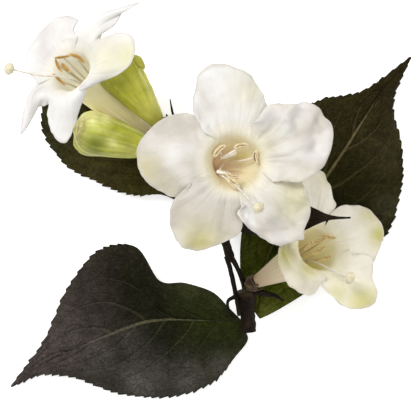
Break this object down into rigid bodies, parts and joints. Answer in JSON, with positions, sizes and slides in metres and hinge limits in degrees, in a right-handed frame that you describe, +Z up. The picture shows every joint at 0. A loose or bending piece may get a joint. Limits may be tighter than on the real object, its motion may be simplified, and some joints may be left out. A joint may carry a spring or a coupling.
{
  "type": "cut flowering weigela sprig",
  "caption": "Cut sprig of white weigela lying flat: open trumpet blooms, closed green buds and dark toothed leaves on a short woody stem.",
  "frame": {"origin": "middle of the sprig's bounding box, on the surface that it lies on", "axes": "+Z up from that surface, +Y from the stem's cut end towards the buds, +X from the left bloom towards the right one"},
  "size_m": [0.0816, 0.0796, 0.0375],
  "materials": {
    "petals": "soft satin, thin and slightly translucent",
    "leaves": "dark green-brown with a soft sheen, paler veins",
    "buds": "satin yellow-green",
    "calyxes": "matte brown-green",
    "stamens": "matte golden tan",
    "styles": "satin cream",
    "stems": "smooth dark bark with a dull gloss"
  },
  "bodies": {
    "root": {"stem_main": "stems", "stem_upper": "stems", "stem_branch": "stems", "stalk_left": "stems", "stalk_right": "stems", "bract_left": "stems", "bract_right": "stems", "bract_upper": "stems", "leaf_lower_left": "leaves", "leaf_lower_right": "leaves", "leaf_upper_left": "leaves", "leaf_upper_right": "leaves", "bud_upper": "buds", "bud_upper_calyx": "calyxes", "bud_lower": "buds", "bud_lower_calyx": "calyxes", "flower_centre_corolla": "petals", "flower_centre_style": "styles", "flower_centre_stamen_1": "stamens", "flower_centre_stamen_2": "stamens", "flower_centre_stamen_3": "stamens", "flower_centre_stamen_4": "stamens", "flower_centre_stamen_5": "stamens", "flower_centre_calyx": "calyxes", "flower_left_corolla": "petals", "flower_left_style": "styles", "flower_left_stamen_1": "stamens", "flower_left_stamen_2": "stamens", "flower_left_stamen_3": "stamens", "flower_left_stamen_4": "stamens", "flower_left_stamen_5": "stamens", "flower_left_calyx": "calyxes", "flower_right_corolla": "petals", "flower_right_style": "styles", "flower_right_stamen_1": "stamens", "flower_right_stamen_2": "stamens", "flower_right_stamen_3": "stamens", "flower_right_stamen_4": "stamens", "flower_right_stamen_5": "stamens", "flower_right_calyx": "calyxes"}
  },
  "joints": []
}
